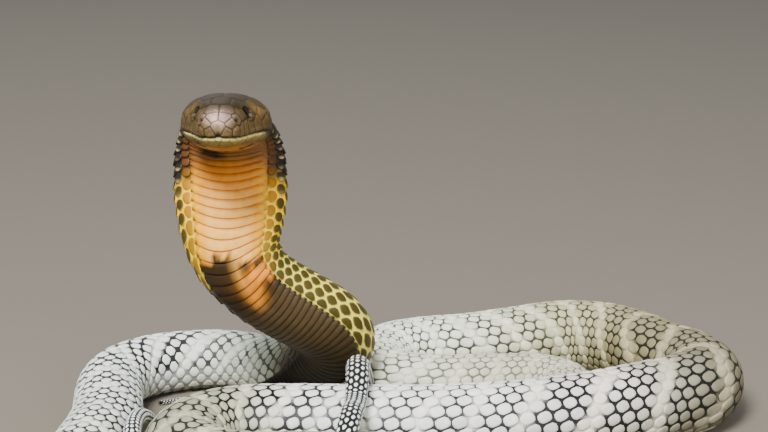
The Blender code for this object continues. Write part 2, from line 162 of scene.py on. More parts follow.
def centreline(step=2.0):
    """Evenly spaced points of the body's centre line, and the arc length of each leg's start."""
    points = [q for _, _, leg in ROUTE for q in leg]
    z = [15.0 if q[2] is None else q[2] for q in points]
    for _ in range(4):
        fine = spline([(q[0], q[1], h) for q, h in zip(points, z)])
        length = np.r_[0, np.cumsum(np.linalg.norm(np.diff(fine, axis=0), axis=1))]
        knots = length[::16][:len(points)]
        half = profile(knots)[1]
        z = [BELLY * h if q[2] is None else q[2] for q, h in zip(points, half)]
    s = np.arange(0, length[-1], step)
    c = np.array([np.interp(s, length, fine[:, k]) for k in range(3)]).T
    for _ in range(14):
        c[1:-1] = (c[:-2] + 2 * c[1:-1] + c[2:]) / 4
    on_floor = np.interp(s, knots, [q[2] is None for q in points]) > 0.999
    starts, k = [], 0
    for _, _, leg in ROUTE:
        starts.append(knots[k])
        k += len(leg)
    starts.append(s[-1])
    floor_z = BELLY * profile(s)[1]
    c[:, 2] = np.where(on_floor, floor_z, np.maximum(c[:, 2], floor_z))
    for _ in range(6):
        c[1:-1, 2] = np.where(on_floor[1:-1], c[1:-1, 2], (c[:-2, 2] + 2 * c[1:-1, 2] + c[2:, 2]) / 4)
    return s, c, starts


def head_axis():
    """Where the head points: towards the viewer, nose a little up."""
    fwd = np.array([math.sin(math.radians(HEAD_TURN)), -1.0, math.tan(math.radians(HEAD_LIFT))])
    return fwd / np.linalg.norm(fwd)


def axes(s, c):
    """Tangent, side and back direction at each point."""
    t = np.gradient(c, s, axis=0)
    t /= np.linalg.norm(t, axis=1)[:, None]
    nod = np.clip(1 - s / 10, 0, 1)[:, None]
    t = (1 - nod) * t - nod * head_axis()
    t /= np.linalg.norm(t, axis=1)[:, None]
    roll = np.interp(s, [r[0] for r in ROLL], [r[1] for r in ROLL])[:, None]
    back = (1 - roll) * np.array([0.0, 1.0, 0.12]) + roll * np.array([0, 0, 1.0])
    # over the first bend the back turns from the nape's up to the hood's rear
    nape = np.clip(1 - s / 26, 0, 1)[:, None]
    back = (1 - nape) * back + nape * np.array([0, 0.15, 1.0])
    side = np.cross(t, back)
    side /= np.linalg.norm(side, axis=1)[:, None]
    return t, side, np.cross(side, t)


S_LINE, C_LINE, STARTS = centreline()
T_LINE, SIDE_LINE, BACK_LINE = axes(S_LINE, C_LINE)
BODY_L = float(S_LINE[-1])
print("body length without the head:", round(BODY_L), "mm")

# %% [markdown]
# ## The head's form
# A king cobra's head is long, flat on top and widest at the hinge of the jaws. It is drawn as rings from the
# nape to the snout: half widths, a height over the middle line and a depth under it, each read from a
# short table.

# %% One point of the head's surface

def lookup(table, l):
    pts = sorted(table)
    return np.interp(l, [p[0] for p in pts], [p[1] for p in pts])


def head_local(l, ang):
    """Points (l forward, x sideways, z up) of the head's surface, for arrays of l and ang."""
    w, top, under = lookup(WIDTH, l), lookup(TOP, l), lookup(UNDER, l)
    co, si = np.cos(ang), np.sin(ang)
    n = np.where(si > 0, 2.25, 2.1)
    x = np.sign(co) * np.abs(co) ** (2 / n) * w
    z = np.abs(si) ** (2 / n) * np.where(si > 0, top, -under)
    above = np.maximum(0.0, z + 2.0) / (top + 2.0)
    fore = np.clip((l - 14) / 12, 0, 1)
    x = x * (1 - 0.20 * fore * above * (1 - 0.5 * above))
    brow = np.exp(-((l - EYE[0]) / 5.0) ** 2 - ((z - EYE[2] - 4.0) / 2.0) ** 2)
    x = x + np.sign(x) * 1.1 * brow
    return np.stack(np.broadcast_arrays(l, x, z), axis=-1)


HEAD_O = C_LINE[0]
HEAD_F = head_axis()
HEAD_R = np.cross(HEAD_F, [0, 0, 1.0])
HEAD_R /= np.linalg.norm(HEAD_R)
HEAD_U = np.cross(HEAD_R, HEAD_F)


def head_world(p):
    p = np.asarray(p, float)
    return (HEAD_O + np.multiply.outer(p[..., 0] + 0.15, HEAD_F) + np.multiply.outer(p[..., 1], HEAD_R)
            + np.multiply.outer(p[..., 2], HEAD_U))


# the solids were moved so that the origin is under their middle: the left eye tells by how much
eye_low, eye_high = (np.array(v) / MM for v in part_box("eye_left"))
SHIFT = head_world((EYE[0], -EYE[1], EYE[2])) - (eye_low + eye_high) / 2
SHIFT[2] = 0.0
print("moved by", np.round(SHIFT, 2), "mm")

# %% [markdown]
# ## One surface for everything
# Skin, scales and scutes all need to know where the body's surface is. It is worked out once as a grid of
# rings, evenly spaced round each ring from the middle of the belly, and a small function then finds the
# place at any distance s along the body, any share t of the way round, and any height h over it.

# %% Surface grid
NT = 192
ANG = np.linspace(-np.pi / 2, 1.5 * np.pi, 721)


def even_ring(points):
    d = np.r_[0, np.cumsum(np.linalg.norm(np.diff(points, axis=0), axis=1))]
    q = np.linspace(0, d[-1], NT + 1)[:-1]
    return np.array([np.interp(q, d, points[:, k]) for k in range(3)]).T, d[-1]


def body_ring(s):
    c, side, back = ([np.interp(s, S_LINE, a[:, k]) for k in range(3)] for a in (C_LINE, SIDE_LINE, BACK_LINE))
    half_w, half_t, full = profile(s)
    co, si = np.cos(ANG), np.sin(ANG)
    x = np.sign(co) * np.abs(co) ** (2 / full) * half_w
    z = np.sign(si) * np.abs(si) ** (2 / full) * half_t
    ring = np.array(c) + np.outer(x, side) + np.outer(z, back)
    ring[:, 2] = np.maximum(ring[:, 2], 0.0)
    return even_ring(ring)


HEAD_S = -HEAD_L * (1 - (1 - np.linspace(1, 0, 110)) ** 1.5)      # finer towards the snout
HEAD_S[0] = -HEAD_L + 0.02
BODY_S = np.arange(1.5, BODY_L, 1.5)
GRID_S = np.r_[HEAD_S, BODY_S]
rings, girth = [], []
for s in GRID_S:
    if s <= 0:
        p = head_local(np.full_like(ANG, -s), ANG)
        p[:, 1] *= -1                       # the body counts round the other way
        ring, d = even_ring(head_world(p))
    else:
        ring, d = body_ring(s)
    rings.append(ring - SHIFT)
    girth.append(d)
GRID = np.array(rings)
GIRTH = np.array(girth)
# soften the step from head to hood
for _ in range(3):
    k = np.where(np.abs(GRID_S) < 6)[0]
    GRID[k] = (GRID[k - 1] + 2 * GRID[k] + GRID[k + 1]) / 4
d_s = np.gradient(GRID, axis=0)
d_t = np.roll(GRID, -1, axis=1) - np.roll(GRID, 1, axis=1)
NORM = np.cross(d_t, d_s)
NORM /= np.maximum(np.linalg.norm(NORM, axis=2), 1e-9)[..., None]
mid = GRID.mean(axis=1, keepdims=True)
NORM *= np.sign(np.sum(NORM * (GRID - mid), axis=2).mean())
for _ in range(2):
    NORM = (np.roll(NORM, 1, axis=1) + 2 * NORM + np.roll(NORM, -1, axis=1)) / 4
    NORM[1:-1] = (NORM[:-2] + 2 * NORM[1:-1] + NORM[2:]) / 4
NORM /= np.linalg.norm(NORM, axis=2)[..., None]
print("surface grid", GRID.shape)


def on_body(s, t, h):
    """World places in mm at s along, t round (0 = belly, 0.5 = back) and h over the surface."""
    i = np.clip(np.interp(s, GRID_S, np.arange(len(GRID_S))), 0, len(GRID_S) - 1.001)
    # the lower neck is turned a little about its own line
    j = np.mod(t - np.interp(s, [70, 105, 175, 240], [0, 0.05, 0.05, 0]), 1.0) * NT
    i0, j0 = i.astype(int), j.astype(int) % NT
    u, v = (i - i0)[..., None], (j - np.floor(j))[..., None]
    j1 = (j0 + 1) % NT

    def mix(a):
        return (a[i0, j0] * (1 - u) * (1 - v) + a[i0 + 1, j0] * u * (1 - v)
                + a[i0, j1] * (1 - u) * v + a[i0 + 1, j1] * u * v)
    p = mix(GRID) + mix(NORM) * np.asarray(h)[..., None]
    p[..., 2] = np.maximum(p[..., 2], 0.03)
    return p


def girth_at(s):
    return np.interp(s, GRID_S, GIRTH)


# %% [markdown]
# ## Colours
# The colours are kept as a few named paints and blended by formulas of the place on the body: how far
# along it is, and how far up the side. Skin and plates ask the same formulas, so the markings run on from
# one to the other.

# %% Paints and markings


def srgb(r, g, b):
    c = np.array([r, g, b], float) / 255
    return np.where(c <= 0.04045, c / 12.92, ((c + 0.055) / 1.055) ** 2.4)


def blend(a, b, w):
    w = np.clip(w, 0, 1)[..., None]
    return a * (1 - w) + b * w


def ramp(x, lo, hi):
    u = np.clip((x - lo) / (hi - lo), 0, 1)
    return u * u * (3 - 2 * u)


def wobble(x, y, seed=0.0):
    """A smooth, repeatable unevenness between -1 and 1."""
    return (np.sin(x * 1.7 + y * 2.3 + seed) + np.sin(x * 0.61 - y * 1.9 + seed * 2.1) + np.sin(x * 3.1 + y * 0.7)) / 3


# (s, plate low on the side, plate on the back, net between the plates, pale band); over the pale body the back's plate
# is painted lighter than the side's: painted top light
PAINT = [
    (0, srgb(66, 44, 20), srgb(44, 36, 26), srgb(10, 8, 6), srgb(180, 168, 140)),
    (38, srgb(98, 58, 12), srgb(34, 28, 17), srgb(12, 10, 7), srgb(190, 176, 140)),
    (47, srgb(176, 118, 2), srgb(66, 54, 8), srgb(250, 202, 8), srgb(226, 200, 110)),
    (78, srgb(160, 116, 4), srgb(72, 61, 10), srgb(250, 210, 26), srgb(222, 200, 120)),
    (100, srgb(72, 62, 14), srgb(64, 56, 14), srgb(246, 226, 92), srgb(222, 200, 120)),
    (160, srgb(66, 56, 14), srgb(66, 58, 16), srgb(236, 222, 100), srgb(214, 200, 130)),
    # at the neck's base, shaded by the hood and head, the plates are painted dark olive with a faint net: painted shade
    (188, srgb(72, 66, 36), srgb(96, 92, 56), srgb(110, 106, 62), srgb(160, 158, 120)),
    # from here to s 290 the left coil's pale plates are painted brighter where the neck's shadow falls on them: partly
    # their own pale colour, partly painted light
    (212, srgb(176, 178, 158), srgb(184, 188, 164), srgb(36, 39, 31), srgb(206, 210, 186)),
    (240, srgb(226, 228, 210), srgb(238, 242, 226), srgb(84, 87, 74), srgb(240, 243, 226)),
    (290, srgb(228, 232, 220), srgb(244, 248, 238), srgb(30, 33, 28), srgb(240, 243, 228)),
    (330, srgb(226, 232, 224), srgb(246, 250, 242), srgb(12, 14, 11), srgb(236, 240, 224)),
    (460, srgb(208, 212, 196), srgb(222, 226, 212), srgb(14, 16, 12), srgb(232, 230, 212)),
    (1036, srgb(138, 138, 112), srgb(152, 152, 126), srgb(14, 15, 12), srgb(196, 190, 160)),
    (1062, srgb(160, 160, 138), srgb(184, 184, 160), srgb(14, 15, 12), srgb(216, 210, 184)),
    (1088, srgb(208, 208, 190), srgb(240, 238, 228), srgb(14, 15, 12), srgb(247, 243, 226)),
    (1105, srgb(220, 223, 212), srgb(246, 247, 240), srgb(34, 38, 34), srgb(252, 250, 238)),
    (1185, srgb(218, 219, 208), srgb(244, 242, 235), srgb(32, 36, 32), srgb(252, 248, 234)),
    (1215, srgb(204, 202, 188), srgb(234, 228, 222), srgb(17, 18, 15), srgb(248, 242, 222)),
    (1256, srgb(186, 182, 166), srgb(222, 214, 204), srgb(17, 17, 14), srgb(242, 234, 212)),
    # from here to s 1385 the right turn is painted dark olive grey: painted shade
    (1288, srgb(120, 114, 92), srgb(152, 146, 126), srgb(13, 13, 10), srgb(206, 198, 168)),
    (1315, srgb(96, 90, 68), srgb(122, 115, 90), srgb(13, 13, 9), srgb(176, 168, 136)),
    (1385, srgb(124, 116, 82), srgb(142, 132, 96), srgb(30, 28, 18), srgb(190, 180, 138)),
    (1450, srgb(182, 178, 136), srgb(194, 188, 148), srgb(62, 62, 44), srgb(230, 224, 188)),
    (1495, srgb(226, 227, 200), srgb(232, 234, 210), srgb(50, 53, 45), srgb(246, 245, 222)),
    (1545, srgb(230, 234, 217), srgb(236, 240, 225), srgb(58, 63, 55), srgb(246, 247, 232)),
    (1650, srgb(196, 190, 160), srgb(200, 196, 170), srgb(112, 109, 92), srgb(214, 208, 178)),
    (1840, srgb(176, 176, 162), srgb(184, 184, 172), srgb(34, 34, 30), srgb(200, 200, 184)),
    (1930, srgb(232, 236, 232), srgb(236, 240, 236), srgb(7, 8, 7), srgb(234, 238, 234)),
    (2450, srgb(226, 230, 226), srgb(230, 234, 230), srgb(7, 8, 7), srgb(230, 234, 230)),
]
# (s, half width of the belly scutes as a share of the girth)
BELLY_EDGE = [(-60, 0.17), (6, 0.18), (24, 0.162), (38, 0.15), (85, 0.148), (100, 0.165), (185, 0.165), (250, 0.125),
              (1800, 0.125), (2450, 0.14)]


def table_at(s, table, col):
    xs = [r[0] for r in table]
    vals = np.array([np.atleast_1d(r[col]) for r in table], float)
    return np.stack([np.interp(s, xs, vals[:, k]) for k in range(vals.shape[1])], axis=-1)


def belly_edge(s):
    return np.interp(s, [r[0] for r in BELLY_EDGE], [r[1] for r in BELLY_EDGE])


def up_side(s, t):
    """0 where the belly scutes end, 1 on the middle of the back."""
    e = belly_edge(s)
    a = np.abs(np.mod(t + 0.5, 1.0) - 0.5)
    return np.clip((a - e) / (0.5 - e), 0, 1)


# length of a scale and of a belly scute along the body, mm
SCALE_PITCH = [(-12, 4.4), (10, 4.9), (36, 5.4), (50, 6.9), (95, 7.0), (140, 7.8), (190, 8.0), (225, 9.6), (300, 10.8),
               (345, 10.2), (400, 8.4), (460, 7.9), (1300, 7.9), (1350, 7.0), (1440, 6.8), (1520, 6.4), (1640, 6.0),
               (1760, 5.4), (1850, 4.9), (1950, 4.5), (2050, 4.2), (2150, 3.8), (2260, 3.2), (2380, 2.2), (2440, 1.6)]
SCUTE_PITCH = [(-12, 2.9), (20, 3.4), (50, 4.6), (85, 4.5), (115, 3.5), (200, 3.4), (240, 5.0), (300, 7.4),
               (450, 7.9), (1350, 7.6), (1640, 6.0), (1850, 4.9), (2050, 4.2), (2150, 3.8), (2440, 1.8)]
line_s = np.arange(-14, BODY_L, 0.5)


def pitch(s, table=SCALE_PITCH):
    return np.interp(s, [p[0] for p in table], [p[1] for p in table])


scale_n = np.cumsum(0.5 / pitch(line_s))
scute_n = np.cumsum(0.5 / pitch(line_s, SCUTE_PITCH))


def band_every(s):
    """How many scales apart the pale bands are."""
    return np.interp(s, [1170, 1215, 1320, 1420], [3.1, 4.9, 4.6, 3.3])


band_n = np.cumsum(0.5 / (pitch(line_s) * band_every(line_s)))


def number_at(s):
    return np.interp(s, line_s, scale_n)


def s_of_number(n):
    return np.interp(n, scale_n, line_s)


print("scales in a row:", int(scale_n[-1]), "belly scutes:", int(scute_n[-1]))


def pale_band(s, t):
    """Pale bands about one scale in three, slanting as the rows of scales do."""
    n = np.interp(s, line_s, band_n)
    up = up_side(s, t)
    lean = np.interp(s, [500, 1000], [4.2, -4.0])
    place = n + lean * up / band_every(s) + 0.10 * wobble(n * 2.2, up * 4)
    saw = np.abs(np.mod(place, 1.0) - 0.5) * 2                # 1 in the middle of a band
    narrow = 0.12 * ramp(s, 270, 300) - 0.12 * ramp(s, 430, 480)
    narrow += 0.13 * ramp(s, 1000, 1060) - 0.05 * ramp(s, 1170, 1215) - 0.04 * ramp(s, 1330, 1420)
    return ramp(saw, 0.60 + narrow, 0.78 + narrow) * ramp(s, 215, 240) * (1 - ramp(s, 1880, 1920)) * ramp(up, 0.03, 0.16)


def side_paint(s, t):
    """(plate colour, net colour) over the back and sides."""
    up = up_side(s, t)
    # the black of the hood reaches further down on the upper rows, and its border is ragged
    late = 6.5 * ramp(up, 0.06, 0.34) + 1.8 * wobble(t * 60, s * 0.35)
    place = s - late * np.interp(s, [30, 42, 56, 74], [0, 1, 1, 0])
    low, high, net, pale = (table_at(place, PAINT, k) for k in (1, 2, 3, 4))
    neck = 1 - ramp(s, 95, 125)
    # on the hood the back is its own black; over the pale body the lighter back is painted top light
    plate = blend(low, high, ramp(up, 0.10 - 0.02 * neck, 0.75 - 0.60 * neck))
    band = pale_band(s, t)
    plate = blend(plate, pale, band * 0.8)
    net = blend(net, pale * 0.92, band)
    # on the viewer's left the lower neck is brown right round to its outline
    left = ramp(s, 84, 92) * (1 - ramp(s, 190, 215)) * (1 - ramp(up, 0.12, 0.30)) * (np.mod(t, 1.0) > 0.5)
    plate, net = blend(plate, srgb(70, 54, 30), left), blend(net, srgb(58, 44, 24), left)
    # beside the throat the net is brown, not black
    throat = (1 - ramp(s, 44, 50)) * (1 - ramp(up, 0.05, 0.16))
    net = blend(net, srgb(78, 44, 10), throat * 0.8)
    # the lowest rows have soft, pale edges
    reach = np.interp(s, [360, 520], [0.40, 0.20])
    foot = (1 - ramp(up, reach - 0.14, reach + 0.02)) * ramp(s, 205, 235) * (1 - ramp(s, 1880, 1930))
    net = blend(net, low * 0.50, foot * 0.85)
    return plate, net


def belly_paint(s, t):
    """Throat and belly scutes: orange, dimmed by painted shade under the chin, then peach and gold, a broken dark
    collar, then brown, near black at the neck's base (partly its own dark, partly painted shade), then grey.
    """
    x = np.mod(t + 0.5, 1.0) - 0.5                            # below 0 on the viewer's left
    a = np.abs(x) / belly_edge(s)                             # 0 in the middle, 1 at the edge
    orange, gold, peach = srgb(126, 82, 38), srgb(250, 176, 8), srgb(255, 184, 82)
    amber, dark, brown = srgb(240, 146, 28), srgb(50, 34, 13), srgb(76, 60, 36)
    # painted shade: under the chin the throat starts as a dim orange and brightens by s 47
    c = blend(orange + 0 * s[..., None], srgb(226, 138, 26), ramp(s, 27, 47))
    c = blend(c, peach, ramp(s, 40, 58) * (1 - ramp(a, 0.50, 0.95)))
    c = blend(c, gold, ramp(s, 34, 50) * ramp(a, 0.55, 0.9))
    # two dark spots under the chin
    c = blend(c, dark, 2.4 * np.exp(-((s - 27 - 60 * (x + 0.062)) / 3.6) ** 4 - ((x + 0.062) / 0.036) ** 4))
    c = blend(c, dark, 0.9 * np.exp(-((s - 6) / 2.6) ** 2 - ((x - 0.062) / 0.02) ** 2))
    rough = 2.2 * wobble(x * 60, s * 0.15) + 1.2 * wobble(x * 150, s * 0.4, 2.0)
    start = 79 + 4.5 * ramp(x, 0.0, 0.05)
    c = blend(c, dark, ramp(s + rough, start - 0.8, start + 1.2) * (1 - 0.45 * np.exp(-((x - 0.02) / 0.02) ** 2)))
    c = blend(c, amber, 1.6 * np.exp(-((s + rough - 93) / 4.2) ** 2 - ((x - 0.12) / 0.085) ** 2))
    c = blend(c, brown, ramp(s, 98, 112))
    c = blend(c, amber * 0.8, 1.2 * np.exp(-((s + rough - 101) / 4.4) ** 2 - ((x - 0.03) / 0.035) ** 2))
    c = blend(c, srgb(58, 45, 22), ramp(s, 130, 160))
    # near black at the neck's base: partly the belly's own dark brown, partly painted shade under the hood and head
    c = blend(c, srgb(16, 12, 7), ramp(s, 160, 200))
    c = blend(c, srgb(176, 176, 158), ramp(s, 235, 300))
    c = blend(c, srgb(206, 202, 184), ramp(s, 420, 700))
    return blend(c, srgb(186, 188, 178), ramp(s, 1880, 1950))


# %% [markdown]
# ## Meshes from arrays
# There are several thousand plates. Made one by one with operators they would take minutes, so each plate
# is a small closed form in an array, and the arrays are joined into one mesh for each stretch of body.

# %% Helper that makes one mesh from arrays
for o in bpy.context.selected_objects:
    o.select_set(False)


def make_mesh(name, verts, faces, tint, uv=None):
    """faces is a list of arrays (n, k): n faces of k corners. tint is a colour for each vertex."""
    verts = np.asarray(verts, float).reshape(-1, 3)
    loops = np.concatenate([f.reshape(-1) for f in faces])
    sizes = np.concatenate([np.full(len(f), f.shape[1]) for f in faces])
    # outward faces: the signed volume of the fans tells
    vol = 0.0
    for f in faces:
        a = verts[f[:, 0]]
        for k in range(1, f.shape[1] - 1):
            vol += np.einsum("ij,ij->", a, np.cross(verts[f[:, k]], verts[f[:, k + 1]]))
    if vol < 0:
        loops = np.concatenate([f[:, ::-1].reshape(-1) for f in faces])
    mesh = bpy.data.meshes.new(name)
    mesh.vertices.add(len(verts))
    mesh.vertices.foreach_set("co", (verts * MM).reshape(-1))
    mesh.loops.add(len(loops))
    mesh.loops.foreach_set("vertex_index", loops.astype(np.int32))
    mesh.polygons.add(len(sizes))
    mesh.polygons.foreach_set("loop_start", np.r_[0, np.cumsum(sizes)[:-1]].astype(np.int32))
    mesh.polygons.foreach_set("loop_total", sizes.astype(np.int32))
    mesh.update(calc_edges=True)
    mesh.validate()
    paint = mesh.color_attributes.new("Tint", "FLOAT_COLOR", "POINT")
    rgba = np.ones((len(verts), 4), np.float32)
    rgba[:, :3] = np.asarray(tint, np.float32).reshape(-1, 3)
    paint.data.foreach_set("color", rgba.reshape(-1))
    if uv is not None:
        layer = mesh.uv_layers.new(name="OFBake")
        got = np.empty(len(mesh.loops), np.int32)
        mesh.loops.foreach_get("vertex_index", got)
        layer.data.foreach_set("uv", np.asarray(uv, np.float32).reshape(-1, 2)[got].reshape(-1))
    mesh.polygons.foreach_set("use_smooth", np.ones(len(mesh.polygons), bool))
    obj = bpy.data.objects.new(name, mesh)
    bpy.context.scene.collection.objects.link(obj)
    tris = int(sum(len(f) * (f.shape[1] - 2) for f in faces))
    print(name, tris, "triangles", "" if vol > 0 else "(turned)")
    return obj


def unwrap_place(s, t):
    """The skin's own unwrap: the long strip laid in eight bands, one over the other."""
    share = np.clip((s + HEAD_L) / (BODY_L + HEAD_L), 0, 0.99999) * 8
    band = np.floor(share)
    return np.stack([0.02 + 0.96 * (share - band), (band + 0.04 + 0.92 * np.mod(t + 0.5, 1.0)) / 8], axis=-1)


# %% [markdown]
# ## The skin
# The skin is one closed tube from the snout to the tip of the tail, a little inside the solids, because the
# plates that lie on it bring it out to their size. It is what shows as a dark line between two scales.

# %% Skin
SKIN = -0.6
skin_s = np.r_[HEAD_S, np.arange(3, BODY_L - 0.2, 4.2), BODY_L - 0.1]
skin_t = np.arange(128) / 128
ss, tt = np.meshgrid(skin_s, skin_t, indexing="ij")
thin = np.interp(ss, [-60, 1950, 2250, 2450], [1, 1, 0.5, 0.3])
shape = on_body(ss, tt, SKIN * thin)
plate_c, net_c = side_paint(ss, tt)
skin_c = blend(net_c, belly_paint(ss, tt) * (0.45 + 0.3 * (1 - ramp(ss, 78, 96)))[..., None], 1 - ramp(np.abs(np.mod(tt + 0.5, 1) - 0.5) / belly_edge(ss), 0.97, 1.03))
head_part = 1 - ramp(ss, -3, 2)
skin_c = blend(skin_c, srgb(30, 22, 17) + 0 * skin_c, head_part)
n_r, n_t = shape.shape[:2]
idx = np.arange(n_r * n_t).reshape(n_r, n_t)
quads = np.stack([idx[:-1], np.roll(idx, -1, 1)[:-1], np.roll(idx, -1, 1)[1:], idx[1:]], axis=-1).reshape(-1, 4)
verts = np.vstack([shape.reshape(-1, 3), shape[0].mean(axis=0), shape[-1].mean(axis=0)])
nose, tip = len(verts) - 2, len(verts) - 1
cap0 = np.stack([np.full(n_t, nose), np.roll(idx[0], -1), idx[0]], axis=-1)
cap1 = np.stack([np.full(n_t, tip), idx[-1], np.roll(idx[-1], -1)], axis=-1)
tint = np.vstack([skin_c.reshape(-1, 3), skin_c[0, 0], skin_c[-1, 0]])
skin = make_mesh("cobra_skin", verts, [quads, cap0, cap1], tint)

# %% [markdown]
# ## Scales of the back and sides
# Each scale fills the space up to half way to its neighbours, like a cell in a honeycomb. The outline comes
# straight from the six neighbours: along any direction it ends where the nearest of the half-way lines is
# met, and a high power softens the corners. A domed plate, a sloping rim in the colour of the net, and a
# skirt sunk in the skin make it a closed form.

# %% One array of plates
DIRS = 12


def outline(ds, da, reach_s, reach_a, inset, power):
    """How far a cell reaches in each of the DIRS directions.

    ds, da: (n, m) neighbours' offsets in mm; reach_s, reach_a: (n,) half sizes that spread the directions."""
    phi = 2 * np.pi * (np.arange(DIRS) + 0.5) / DIRS
    vs = reach_s[:, None] * np.cos(phi)
    va = reach_a[:, None] * np.sin(phi)
    norm = np.hypot(vs, va)
    vs, va = vs / norm, va / norm
    dist = np.hypot(ds, da)
    ns, na = ds / dist, da / dist
    half = np.maximum(dist / 2 - inset[:, None], 0.12)
    dot = np.maximum(0, vs[:, :, None] * ns[:, None, :] + va[:, :, None] * na[:, None, :])
    r = 1 / np.sum((dot / half[:, None, :]) ** power, axis=2) ** (1 / power)
    return vs * r, va * r


def plate_faces(n):
    k = DIRS
    base = (np.arange(n) * (1 + 4 * k))[:, None]
    a = np.arange(k)
    b = (a + 1) % k
    fan = np.stack([np.zeros(k, int), 1 + a, 1 + b], axis=-1)
    bands = np.concatenate([np.stack([1 + r * k + a, 1 + (r + 1) * k + a, 1 + (r + 1) * k + b, 1 + r * k + b], axis=-1)
                            for r in range(3)])
    floor_face = (1 + 3 * k + a[::-1])[None]
    return [(base[:, :, None] + f[None]).reshape(-1, f.shape[1]) for f in (fan, bands, floor_face)]


GAPS = [(0, 0.50), (36, 0.50), (50, 0.54), (90, 0.62), (150, 0.74), (200, 0.72), (235, 0.50), (290, 0.84), (380, 0.84),
        (430, 0.62), (1090, 0.74), (1115, 0.48), (1190, 0.46), (1220, 0.70), (1340, 0.64), (1420, 0.44), (1840, 0.42),
        (1900, 0.75), (1950, 1.5), (2100, 1.5), (2200, 1.25), (2450, 1.15)]


def scale_zone(s0, s1, rows):
    """Sites and shapes of the scales between s0 and s1, in rows counted from one edge of the belly."""
    j = np.arange(rows)
    down = (rows - 1) / 2 - np.abs(j - (rows - 1) / 2)
    down = down.max() - down                                  # rows below the middle of the back
    num = np.arange(math.floor(number_at(s0)) - 12, math.ceil(number_at(s1)) + 12)
    nn, jj = (a.reshape(-1) for a in np.meshgrid(num, j, indexing="ij"))

    def step(s):
        return np.interp(s, [190, 560, 1000], [-0.50, -0.50, -0.70])
    s = s_of_number(nn.astype(float))
    for _ in range(3):
        s = s_of_number(nn + step(s) * down[jj])
    keep = (s >= s0) & (s < s1)
    s, jj = s[keep], jj[keep]
    e = belly_edge(s)
    t = e + (1 - 2 * e) * (jj + 0.5) / rows
    p, h = pitch(s), girth_at(s) * (1 - 2 * e) / rows
    st = step(s)
    above, below = (np.mod(st * (down[np.clip(jj + k, 0, rows - 1)] - down[jj]), 1.0) for k in (1, -1))
    edge_up, edge_dn = jj == rows - 1, jj == 0
    up_a, up_b = np.where(edge_up, 0.0, above), np.where(edge_up, 0.0, above - 1)
    dn_a, dn_b = np.where(edge_dn, 0.0, below), np.where(edge_dn, 0.0, below - 1)
    ds = np.stack([p, -p, up_a * p, up_b * p, dn_a * p, dn_b * p], axis=-1)
    da = np.stack([0 * h, 0 * h, h, h, -h, -h], axis=-1)
    gap = np.interp(s, [g[0] for g in GAPS], [g[1] for g in GAPS])
    return s, t, p, h, ds, da, gap


def dashed(s):
    """Where the net fades at the two ends of each scale, so that only dashes are left."""
    return np.interp(s, [1095, 1125, 1175, 1205], [0, 0.75, 0.75, 0]) + np.interp(s, [1440, 1500, 1800, 1860], [0, 0.7, 0.7, 0])


def scales(name, zones):
    s, t, p, h, ds, da, gap = (np.concatenate([z[k] for z in zones]) for k in range(7))
    # the size follows the height of the row, within limits, and a little random lift and shade mean nothing repeats
    # exactly
    n = len(s)
    size = np.clip(h / 5.4, 0.30, 1.10)
    gap = gap * np.clip(h / 5.4, 0.35, 1.0)
    plate_s, plate_a = outline(ds, da, p / 2, h * 0.62, gap, 7)
    rim_s, rim_a = outline(ds, da, p / 2, h * 0.62, np.full(n, 0.04), 12)
    lift = 1 + 0.10 * rng.standard_normal(n)
    rings_s = [0.72 * plate_s, plate_s, plate_s + 0.3 * (rim_s - plate_s), rim_s]
    rings_a = [0.72 * plate_a, plate_a, plate_a + 0.3 * (rim_a - plate_a), rim_a]
    high = [-0.03, -0.20, -0.46, -0.95]
    off_s = np.concatenate([np.zeros((n, 1))] + rings_s, axis=1)
    off_a = np.concatenate([np.zeros((n, 1))] + rings_a, axis=1)
    hh = np.concatenate([np.full((n, 1), 0.05)] + [np.full((n, DIRS), v) for v in high], axis=1)
    # the rear edge of a scale lies a little over the next one's front
    hh = hh + np.interp(s, [0, 110, 190], [1.5, 1.2, 0.05])[:, None] * off_s / p[:, None] * (hh > -0.9)
    hh = (hh + 0.6) * (size * lift)[:, None] - 0.6 * np.interp(s, [-60, 1950, 2250, 2450], [1, 1, 0.5, 0.3])[:, None]
    vs = s[:, None] + off_s
    vt = t[:, None] + off_a / girth_at(s)[:, None]
    pos = on_body(vs, vt, hh)
    plate, net = side_paint(vs, vt)
    ends = ramp(np.abs(off_s) / p[:, None], 0.26, 0.44) * dashed(s)[:, None]
    net = blend(net, 0.86 * plate, ends)
    own, _ = side_paint(np.broadcast_to(s[:, None], vs.shape), np.broadcast_to(t[:, None], vt.shape))
    plate = 0.5 * plate + 0.5 * own
    tip = ramp(off_s / p[:, None], 0.06, 0.30) * ((1 - ramp(s, 43, 53)) * ramp(up_side(s, t), 0.08, 0.14))[:, None]
    tip = tip * ramp(np.abs(off_a) / h[:, None], 0.5, 0.1)
    some = (rng.random(n) * 0.7 + 0.15)[:, None]
    plate = blend(plate, srgb(196, 170, 116) + 0 * plate, tip * some)
    shade = 1 + 0.05 * rng.standard_normal((n, 1, 1))
    plate = plate * shade
    is_net = np.concatenate([np.zeros(1 + DIRS), np.full(DIRS, 0.10), np.ones(2 * DIRS)])[None, :]
    tint = blend(plate, net, np.broadcast_to(is_net, vs.shape))
    root = unwrap_place(s, t)
    span = np.maximum(p, 2 * h)[:, None]
    uv = root[:, None, :] + 0.003 * np.stack([off_s / span, off_a / span], axis=-1)
    return make_mesh(name, pos, plate_faces(n), tint, uv)


